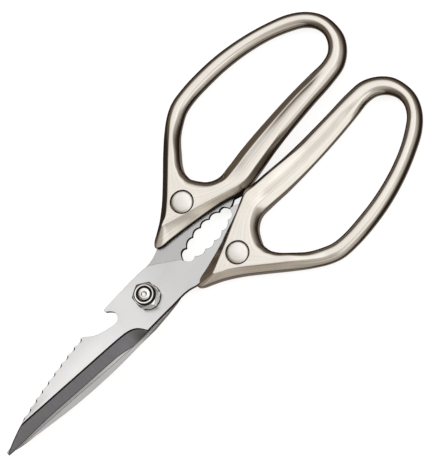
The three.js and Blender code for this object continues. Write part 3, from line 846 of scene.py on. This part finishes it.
def pivot_bolt(name):
    head, thread, face = HEAD_R, THREAD_R, BOLT_FACE_R
    neck, low, high = flatted(NECK_R, NECK_FLAT), REAR_BLADE_BOTTOM, PARTING - BLADE_GAP / 2
    end = NUT_TOP - 0.1
    profile = [
        (0, 0), (1.2, 0), (head - 1.0, 0), (head - 0.75, 0.06), (head - 0.2, 0.5),
        (head - 0.05, 0.66), (head, 0.85), (head, low - 0.25), (head - 0.05, low - 0.08),
        (head - 0.2, low), (neck, low), (neck, high), (SHOULDER_R, high),
        (SHOULDER_R, SHOULDER_TOP), (thread, SHOULDER_TOP), (thread, end - 1.3),
        (thread - 0.04, end - 1.15), (face + 0.06, end - 0.13), (face, end - 0.04),
        (face - 0.08, end), (1.32, end), (1.24, end - 0.06), (1.02, end - 0.42),
        (0.92, end - 0.48), (0.45, end - 0.5), (0, end - 0.5),
    ]
    # The chamfer at the bolt's end gets the near-black second finish, painted shade for the dark
    # ring round it.
    return turned_piece(name, profile, 30, (face + 0.04, thread + 0.1, end - 1.5, end))


def pivot_washer(name):
    bore, rim, low, high = WASHER_BORE, WASHER_R, SHOULDER_TOP, WASHER_TOP
    profile = [
        (bore, low), (rim - 0.25, low), (rim - 0.07, low + 0.07), (rim, low + 0.25),
        (rim, high - 0.42), (rim - 0.05, high - 0.25), (rim - 0.16, high - 0.1),
        (rim - 0.36, high), (bore, high),
    ]
    # The washer's outer wall gets the near-black second finish, painted shade.
    return turned_piece(name, profile, 30, (rim - 0.08, rim + 0.1, low + 0.1, high - 0.2))


def hexagon(angle):
    """Distance from the axis to the nut's flats, with its six corners slightly rounded."""
    power = 70
    turns = [abs(math.cos(angle - NUT_TURN - math.pi / 6 - k * math.pi / 3)) for k in range(3)]
    return NUT_FLATS / 2 / sum(t**power for t in turns) ** (1 / power)


def nut_angles():
    """The angles of the points round the nut, closer near the corners of the hexagon."""
    half = [0.24, 0.48, 0.72, 0.88, 0.94, 0.975]
    shares = [-1, *[-share for share in reversed(half)], 0, *half]
    first = NUT_TURN + math.pi / 6
    return [first + k * math.pi / 3 + share * math.pi / 6 for k in range(6) for share in shares]


def pivot_nut(name):
    corner = NUT_FLATS / math.sqrt(3)
    cone, foot = corner - 1.0, corner - 0.55
    low, middle, high = WASHER_TOP, HEX_TOP, NUT_TOP
    rim, bore = COLLAR_R, NUT_BORE

    def top_edge(a):
        return middle - 0.52 * max(0.0, hexagon(a) - cone)

    def low_edge(a):
        return low + 0.58 * max(0.0, hexagon(a) - foot)

    profile = [
        (bore, low + 0.35), (bore + 0.35, low), (lambda a: min(hexagon(a) - 0.01, foot), low),
        (hexagon, lambda a: low_edge(a) + 0.02),
        (hexagon, lambda a: lerp(low_edge(a), top_edge(a), 0.5)),
        (hexagon, lambda a: top_edge(a) - 0.1),
        (lambda a: hexagon(a) - 0.03, lambda a: top_edge(a) - 0.01),
        (lambda a: lerp(hexagon(a), cone, 0.5), lambda a: lerp(top_edge(a), middle, 0.5)),
        (cone, middle), (rim - 0.02, middle - 0.02), (rim - 0.22, middle + 0.06),
        (rim - 0.22, middle + 0.2), (rim - 0.02, middle + 0.34), (rim, high - 0.7),
        (rim - 0.04, high - 0.58), (rim - 0.4, high - 0.14), (rim - 0.46, high - 0.05),
        (rim - 0.55, high), (3.5, high - 0.03), (3.42, high - 0.12), (3.42, high - 0.22),
        (COLLAR_BORE, high - 0.25), (COLLAR_BORE, middle + 0.1), (bore, middle + 0.1),
    ]
    # The collar's sides get the near-black second finish, painted shade.
    shaded_seam = (rim - 0.42, rim + 0.1, middle, high - 0.12)
    return turned_piece(name, profile, 25, shaded_seam, angles=nut_angles())


def nut_insert(name):
    bore, rim, low, high = NUT_BORE, COLLAR_BORE - 0.05, HEX_TOP + 0.1, NUT_TOP - 0.35
    profile = [
        (bore, low), (rim, low), (rim, high - 0.05), (rim - 0.05, high), (bore + 0.3, high),
        (bore + 0.1, high - 0.06), (bore + 0.02, high - 0.2), (bore, high - 0.4),
    ]
    return turned_piece(name, profile, 30)


# ---- finishes ----


class Tree:
    """A node tree with short ways to add the nodes that the finishes below share."""

    def __init__(self, tree):
        self.nodes = tree.nodes
        self.link = tree.links.new
        self.nodes.clear()

    def add(self, kind, inputs=None, **settings):
        made = self.nodes.new(kind)
        for key, value in settings.items():
            setattr(made, key, value)
        for key, value in (inputs or {}).items():
            if isinstance(value, bpy.types.NodeSocket):
                self.link(value, made.inputs[key])
            else:
                made.inputs[key].default_value = value
        return made

    def mapped(self, source, scale, turn=0):
        inputs = {"Vector": source, "Scale": scale, "Rotation": (0, 0, math.radians(turn))}
        return self.add("ShaderNodeMapping", inputs).outputs["Vector"]

    def position(self, scale=(1, 1, 1), turn=0):
        """Object coordinates in millimetres, scaled and turned about Z."""
        source = self.add("ShaderNodeTexCoord").outputs["Object"]
        return self.mapped(source, [s / MM for s in scale], turn)

    def axes(self, vector):
        return self.add("ShaderNodeSeparateXYZ", {"Vector": vector}).outputs

    def noise(self, vector, detail=2, roughness=0.5, scale=1.0):
        inputs = {"Vector": vector, "Scale": scale, "Detail": detail, "Roughness": roughness}
        return self.add("ShaderNodeTexNoise", inputs).outputs["Fac"]

    def marks(self, scale, detail=2, roughness=0.5, turn=0):
        return self.noise(self.position(scale, turn), detail, roughness)

    def grain(self, scale, detail, roughness):
        """Marks that follow the strand of a handle."""
        source = self.add("ShaderNodeAttribute", attribute_name="grain").outputs["Vector"]
        return self.noise(self.mapped(source, scale), detail, roughness)

    def tones(self, value, dark, light, low=0.3, high=0.7):
        made = self.add("ShaderNodeValToRGB", {"Fac": value})
        for element, place, colour in zip(made.color_ramp.elements, (low, high), (dark, light)):
            element.position = place
            element.color = (*colour, 1)
        return made.outputs["Color"]

    def spread(self, value, low, high, from_low=0.3, from_high=0.7, **settings):
        inputs = {"Value": value, "From Min": from_low, "From Max": from_high,
                  "To Min": low, "To Max": high}
        return self.add("ShaderNodeMapRange", inputs, **settings).outputs["Result"]

    def soft_step(self, value, low, high):
        return self.spread(value, 0.0, 1.0, low, high, interpolation_type="SMOOTHSTEP")

    def math(self, operation, a, b=0.0):
        return self.add("ShaderNodeMath", {0: a, 1: b}, operation=operation).outputs["Value"]

    def times(self, a, b):
        return self.math("MULTIPLY", a, b)

    def plus(self, a, b):
        return self.math("ADD", a, b)

    def minus(self, a, b):
        return self.math("SUBTRACT", a, b)

    def blend(self, factor, a, b, mode="MIX"):
        a, b = (c if isinstance(c, bpy.types.NodeSocket) else (*c, 1) for c in (a, b))
        settings = {"data_type": "RGBA", "blend_type": mode}
        return self.add("ShaderNodeMix", {0: factor, 6: a, 7: b}, **settings).outputs[2]

    def bump(self, height, strength, distance, below=None):
        inputs = {"Height": height, "Strength": strength, "Distance": distance * MM}
        if below is not None:
            inputs["Normal"] = below
        return self.add("ShaderNodeBump", inputs).outputs["Normal"]

    def edges(self, low, high):
        """From 0 on flat stretches to 1 on convex arrises."""
        pointed = self.add("ShaderNodeNewGeometry").outputs["Pointiness"]
        return self.spread(pointed, 0.0, 1.0, low, high)


def finish(name, build, **constants):
    """A metal or plastic whose constants sit on the shader; build() gives its colour,
    roughness and normal."""
    material = bpy.data.materials.new(name)
    material.use_nodes = True
    tree = Tree(material.node_tree)
    shader = tree.add("ShaderNodeBsdfPrincipled", constants)
    output = tree.add("ShaderNodeOutputMaterial")
    tree.link(shader.outputs["BSDF"], output.inputs["Surface"])
    for key, socket in zip(("Base Color", "Roughness", "Normal"), build(tree)):
        tree.link(socket, shader.inputs[key])
    return material


def unpolished(tree):
    """Painted shade: how far a face is darkened, on steep sides and on the leaning sides between
    the two grips.
    """
    facing = tree.axes(tree.add("ShaderNodeNewGeometry").outputs["Normal"])
    upright = tree.math("ABSOLUTE", facing["Z"])
    at = tree.axes(tree.position())
    inward = tree.soft_step(tree.math("ABSOLUTE", at["Y"]), 9.0, 4.0)
    between = tree.times(inward, tree.soft_step(at["X"], -52, -62))
    leaning = tree.times(between, tree.soft_step(upright, 0.995, 0.8))
    return tree.math("MAXIMUM", tree.soft_step(upright, 0.62, 0.25), leaning)


def satin_nickel(tree):
    """Polished casting: cloudy tone, fine grain and faint polishing lines along the strand, with
    painted shade on its steep sides and between the grips.
    """
    cloud = tree.marks((0.09, 0.09, 0.09), 4, 0.6)
    tone = tree.tones(cloud, (0.745, 0.72, 0.675), (0.825, 0.806, 0.772))
    lines = tree.grain((0.03, 1.9, 1), 5, 0.62)
    streak = tree.spread(lines, 0.0, 1.0, 0.38, 0.62)
    tone = tree.blend(tree.times(streak, 0.24), tone, (0.60, 0.565, 0.515))
    fine = tree.grain((0.015, 4.5, 1), 3, 0.6)
    hair = tree.spread(fine, 0.0, 0.32, 0.50, 0.66)
    tone = tree.blend(hair, tone, (0.58, 0.545, 0.50))
    gleam = tree.spread(fine, 0.36, 0.0, 0.36, 0.48)
    tone = tree.blend(gleam, tone, (0.93, 0.92, 0.90))
    worn = tree.times(tree.edges(0.52, 0.58), tree.spread(cloud, 0.25, 0.75))
    tone = tree.blend(worn, tone, (0.88, 0.85, 0.80))
    # Painted shade: steep sides and the sides between the grips are darkened towards brown-black.
    tone = tree.blend(tree.times(unpolished(tree), 0.72), tone, (0.24, 0.20, 0.165))
    rough = tree.plus(tree.spread(cloud, 0.12, 0.18), tree.spread(lines, -0.02, 0.04))
    rough = tree.minus(rough, tree.times(worn, 0.05))
    normal = tree.bump(tree.marks((0.12, 0.12, 0.12), 1), 0.35, 0.12)
    normal = tree.bump(lines, 0.26, 0.035, normal)
    normal = tree.bump(fine, 0.2, 0.02, normal)
    return tone, rough, tree.bump(tree.marks((5, 5, 5)), 0.10, 0.01, normal)


def satin_steel(tree):
    """Blade face: brushed along the blade, brighter next to the bevel and duller towards the tip
    and on the neck."""
    brushed = tree.marks((0.02, 4.0, 1), 6, 0.6)
    cloud = tree.marks((0.06, 0.09, 0.1), 3)
    tone = tree.tones(brushed, (0.76, 0.785, 0.815), (0.83, 0.855, 0.885))
    tone = tree.blend(tree.spread(cloud, 0.0, 0.15), tone, (0.66, 0.68, 0.705))
    at = tree.axes(tree.position())
    across = tree.plus(at["Y"], tree.times(at["X"], 0.1135))
    brighter_by_bevel = tree.times(tree.soft_step(across, -6.0, 4.0), tree.soft_step(at["X"], 14, 34))
    tone = tree.blend(brighter_by_bevel, tone, (0.93, 0.95, 0.975))
    far = tree.minus(tree.soft_step(at["X"], 54, 68), tree.soft_step(across, 3.2, 5.4))
    duller = tree.math("MAXIMUM", far, tree.soft_step(at["X"], 10, -16))
    tone = tree.blend(tree.times(duller, 0.6), tone, (0.52, 0.535, 0.555))
    scratch = tree.spread(tree.marks((0.05, 2.2, 1), 1, turn=24), 0.0, 1.0, 0.735, 0.76)
    tone = tree.blend(tree.times(scratch, 0.2), tone, (0.55, 0.57, 0.59))
    rough = tree.plus(tree.spread(brushed, 0.19, 0.26), tree.spread(cloud, 0.0, 0.05))
    return tone, rough, tree.bump(scratch, 0.1, 0.01, tree.bump(brushed, 0.12, 0.01))


def ground_steel(tree):
    """The ground bevel: darker, partly for its ground finish and partly as painted dark
    reflection, with grinding lines that run across it to the edge.
    """
    lines = tree.marks((5.0, 0.05, 1), 5, 0.65, turn=6)
    bands = tree.marks((0.5, 0.01, 1), turn=6)
    tone = tree.tones(lines, (0.198, 0.206, 0.228), (0.262, 0.270, 0.298), 0.25, 0.75)
    tone = tree.blend(tree.spread(bands, 0.0, 0.25), tone, (0.175, 0.182, 0.202))
    return tone, tree.spread(lines, 0.26, 0.36), tree.bump(lines, 0.22, 0.012)


def parting_steel(tree):
    """The inner faces, where the halves slide: flat ground and a little darker, with painted light
    that brightens them round the pivot, where the front blade's edge shades them."""
    lines = tree.marks((0.03, 3.0, 1), 5, 0.6, turn=-8)
    tone = tree.tones(lines, (0.52, 0.535, 0.555), (0.60, 0.615, 0.635))
    cloud = tree.marks((0.08, 0.12, 0.1), 3)
    tone = tree.blend(tree.spread(cloud, 0.0, 0.3), tone, (0.42, 0.435, 0.455))
    at = tree.axes(tree.position())
    # Painted light: brighter round the pivot, to lift the shade and dark reflection of the other
    # blade's edge.
    painted_light_near_pivot = tree.minus(tree.soft_step(at["X"], -6, 0), tree.soft_step(at["X"], 15, 22))
    tone = tree.blend(tree.times(painted_light_near_pivot, 0.8), tone, (0.9, 0.91, 0.93))
    rough = tree.plus(tree.spread(lines, 0.24, 0.34), tree.times(painted_light_near_pivot, 0.3))
    return tone, rough, tree.bump(lines, 0.14, 0.01)


def honed_steel(tree):
    """The honed strip: bright, with finer lines across, and brightest near the heel."""
    lines = tree.marks((8.0, 0.08, 1), 4, 0.6, turn=4)
    tone = tree.tones(lines, (0.40, 0.41, 0.43), (0.52, 0.53, 0.55))
    near = tree.soft_step(tree.axes(tree.position())["X"], 50, 26)
    tone = tree.blend(tree.times(near, 0.6), tone, (0.88, 0.90, 0.93))
    return tone, tree.spread(lines, 0.2, 0.3), tree.bump(lines, 0.2, 0.008)


def sheared_steel(tree):
    """The blanked edge between the faces, and the steep steps of the grind: near black as painted
    shade for their dark lines, with marks straight through.
    """
    marks = tree.marks((2.5, 2.5, 0.1), 4, 0.65)
    tone = tree.tones(marks, (0.008, 0.008, 0.009), (0.020, 0.020, 0.022))
    return tone, tree.spread(marks, 0.5, 0.65), tree.bump(marks, 0.3, 0.03)


def painted_shade(tree):
    """Painted shade: near black, for seams, crevices and walls that stand in shadow and dark
    reflection.
    """
    specks = tree.marks((4, 4, 4), 3)
    tone = tree.tones(specks, (0.010, 0.009, 0.008), (0.028, 0.025, 0.022))
    return tone, tree.spread(specks, 0.6, 0.8), tree.bump(specks, 0.3, 0.03)


def nylon(tree):
    specks = tree.marks((6, 6, 6), 3)
    tone = tree.tones(specks, (0.006, 0.006, 0.007), (0.016, 0.016, 0.018))
    return tone, tree.spread(specks, 0.4, 0.55), tree.bump(specks, 0.2, 0.02)


RIVET_TONES = ((0.84, 0.83, 0.81), (0.95, 0.94, 0.93))
CHROME_TONES = ((0.82, 0.835, 0.855), (0.90, 0.915, 0.935))


def spun(centre, dark, light, rough_range, pitch):
    """Turned metal: fine rings round the given axis, over a cloudy tone."""

    def build(tree):
        inputs = {"Vector": tree.add("ShaderNodeTexCoord").outputs["Object"],
                  "Location": (-centre[0] * MM, -centre[1] * MM, 0)}
        at = tree.axes(tree.add("ShaderNodeMapping", inputs).outputs["Vector"])
        square = tree.plus(*(tree.times(at[axis], at[axis]) for axis in "XY"))
        turned_at = {"X": tree.math("SQRT", square), "Z": at["Z"]}
        round_axis = tree.add("ShaderNodeCombineXYZ", turned_at).outputs["Vector"]
        rings = tree.noise(round_axis, 3, 0.6, 1 / (pitch * MM))
        cloud = tree.marks((0.3, 0.3, 0.3), 3)
        tone = tree.tones(rings, dark, light)
        tone = tree.blend(tree.spread(cloud, 0.0, 0.15), tone, [0.75 * c for c in dark])
        worn = tree.times(tree.edges(0.53, 0.6), 0.5)
        tone = tree.blend(worn, tone, [min(1.0, 1.1 * c) for c in light])
        rough = tree.plus(tree.spread(rings, *rough_range), tree.spread(cloud, 0.0, 0.05))
        return tone, rough, tree.bump(rings, 0.18, 0.012)

    return build


def spun_rivet(side):
    return spun((RIVET_X, side * RIVET_Y), *RIVET_TONES, (0.2, 0.3), 0.22)


def make_finishes():
    metals = {
        "cast_nickel": satin_nickel, "blade_face": satin_steel, "blade_bevel": ground_steel,
        "blade_edge": honed_steel, "blade_parting_face": parting_steel,
        "front_rivet_spun": spun_rivet(1), "rear_rivet_spun": spun_rivet(-1),
        "pivot_chrome": spun((0, 0), *CHROME_TONES, (0.035, 0.06), 0.3),
    }
    dull = {"IOR": 1.2, "Specular IOR Level": 0.2}
    made = {name: finish(name, build, Metallic=1.0) for name, build in metals.items()}
    made["blade_sheared_edge"] = finish("blade_sheared_edge", sheared_steel, **dull)
    made["painted_shade"] = finish("painted_shade", painted_shade, **dull)
    made["black_nylon"] = finish("black_nylon", nylon, IOR=1.53)
    return made


# ---- assembly ----


def place(piece, materials, body, node, slot):
    """Gives the piece its finishes, in the order of its faces' numbers, puts it on its body and
    hides the CAD part it replaces; slot is not used.
    """
    regions = [polygon.material_index for polygon in piece.data.polygons]
    piece.data.materials.clear()
    for material in materials:
        piece.data.materials.append(material)
    piece.data.polygons.foreach_set("material_index", regions)
    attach(piece, body)
    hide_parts(node)


def build_shears():
    finishes = make_finishes()
    shaded_seam = finishes["painted_shade"]
    steel = [finishes[f"blade_{part}"] for part in BLADE_REGIONS]
    place(front_blade(), steel, "front_half", "front_blade", "blade_steel")
    place(rear_blade(), steel, "rear_half", "rear_blade", "blade_steel")
    for half, side in (("front", 1), ("rear", -1)):
        body, rivet_skin = f"{half}_half", [finishes[f"{half}_rivet_spun"], shaded_seam]
        grip = handle(f"{half}_handle_casting")
        if side < 0:
            turn_over(grip.data)
        place(grip, [finishes["cast_nickel"], shaded_seam], body, f"{half}_handle", "cast_handle")
        for build, end in ((rivet, "head"), (rivet_cap, "tube")):
            piece = build(f"{half}_rivet_{end}", side)
            place(piece, rivet_skin, body, f"{half}_{build.__name__}", "rivet_steel")
    chrome = [finishes["pivot_chrome"], shaded_seam]
    pivot = {"shoulder_bolt": pivot_bolt, "flat_washer": pivot_washer, "lock_nut": pivot_nut}
    for name, build in pivot.items():
        place(build(name), chrome, "rear_half", build.__name__, "pivot_steel")
    insert = nut_insert("lock_nut_insert")
    place(insert, [finishes["black_nylon"]], "rear_half", "pivot_nut_insert", "nylon")


# ---- camera, floor and light ----

CAMERA_TARGET = (-0.03912, 0.00254, 0.00708)
CAMERA_DISTANCE = 1.120
CAMERA_TILT = math.radians(16.96)  # from straight down, towards +Y
CAMERA_ROLL = math.radians(132.20)
CAMERA_LENS = 211.4


def make_camera():
    data = bpy.data.cameras.new("camera")
    data.lens = CAMERA_LENS
    data.sensor_width = 36
    data.clip_start, data.clip_end = 0.05, 20
    camera = object_of("camera", data)
    aimed = Matrix.Translation(CAMERA_TARGET) @ Matrix.Rotation(-CAMERA_TILT, 4, "X")
    rolled = aimed @ Matrix.Rotation(CAMERA_ROLL, 4, "Z")
    camera.matrix_world = rolled @ Matrix.Translation((0, 0, CAMERA_DISTANCE))
    bpy.context.scene.camera = camera


def make_floor():
    size = 4000.0
    corners = [(-size, -size, 0), (size, -size, 0), (size, size, 0), (-size, size, 0)]
    floor = object_of("floor", mesh_of("floor", corners, [(0, 1, 2, 3)]))
    pale = {"Base Color": (0.4, 0.4, 0.4, 1), "Roughness": 0.9, "Specular IOR Level": 0.1,
            "Emission Color": (1, 1, 1, 1), "Emission Strength": 0.82}
    floor.data.materials.append(finish("pale_floor", lambda tree: (), **pale))
    floor.visible_glossy = False


# Soft sources in the studio, as (tilt from overhead, azimuth from +X, both in degrees; half
# angle of the even part; half angle where it ends; colour).
SOFT_SOURCES = [
    (27, 243, 2, 33, (0.86, 0.86, 0.86)),
    (28, 97, 8, 62, (0.43, 0.425, 0.41)),
    (89, 61, 31, 37, (0.36, 0.335, 0.30)),
    (11, 138, 7, 19, (0.38, 0.38, 0.38)),
    (37, 92, 6, 20, (0.62, 0.62, 0.61)),
]
SURROUND_ABOVE = (0.155, 0.118, 0.086)
SURROUND_BELOW = (0.034, 0.025, 0.018)
SURROUND_UNDER = (0.28, 0.25, 0.22)


def soft_source(tree, way, tilt, azimuth, even, end, colour):
    tilt, azimuth = math.radians(tilt), math.radians(azimuth)
    axis = (
        math.sin(tilt) * math.cos(azimuth), math.sin(tilt) * math.sin(azimuth), math.cos(tilt)
    )
    near = tree.add("ShaderNodeVectorMath", {0: way, 1: axis}, operation="DOT_PRODUCT")
    low, high = math.cos(math.radians(end)), math.cos(math.radians(even))
    level = tree.soft_step(near.outputs["Value"], low, high)
    return tree.blend(level, (0, 0, 0), colour)


def make_world():
    """Soft lights overhead, a warm card low on the +Y side, dark brown surroundings that metal
    edges pick up, and the pale table straight below."""
    world = bpy.data.worlds.new("studio")
    world.use_nodes = True
    bpy.context.scene.world = world
    tree = Tree(world.node_tree)
    way = tree.add("ShaderNodeTexCoord").outputs["Generated"]
    height = tree.axes(way)["Z"]
    lit = tree.blend(tree.soft_step(height, -0.94, -0.8), SURROUND_UNDER, SURROUND_BELOW)
    lit = tree.blend(tree.soft_step(height, -0.1, 0.42), lit, SURROUND_ABOVE)
    for source in SOFT_SOURCES:
        lit = tree.blend(1.0, lit, soft_source(tree, way, *source), "ADD")
    glow = tree.add("ShaderNodeBackground", {"Color": lit, "Strength": 1.0})
    plain = tree.add("ShaderNodeBackground", {"Color": (1, 1, 1, 1), "Strength": 1.0})
    seen = tree.add("ShaderNodeLightPath").outputs["Is Camera Ray"]
    mixed = tree.add("ShaderNodeMixShader", {0: seen, 1: glow.outputs[0], 2: plain.outputs[0]})
    output = tree.add("ShaderNodeOutputWorld")
    tree.link(mixed.outputs[0], output.inputs["Surface"])


def make_light(name, spot, aim, size, power):
    data = bpy.data.lights.new(name, "AREA")
    data.shape = "RECTANGLE"
    data.size, data.size_y = size
    data.energy = power
    light = object_of(name, data)
    light.location = spot
    light.rotation_euler = (Vector(aim) - Vector(spot)).to_track_quat("-Z", "Y").to_euler()
    light.visible_glossy = False


def make_stage():
    make_floor()
    make_world()
    make_light("key", (0.5, -0.9, 1.3), (-0.02, 0, 0), (0.9, 0.5), 9)
    make_light("fill", (-0.9, 0.7, 1.1), (-0.02, 0, 0), (0.8, 0.8), 5)
    bpy.context.scene.view_settings.view_transform = "Standard"


make_camera()
make_stage()
build_shears()
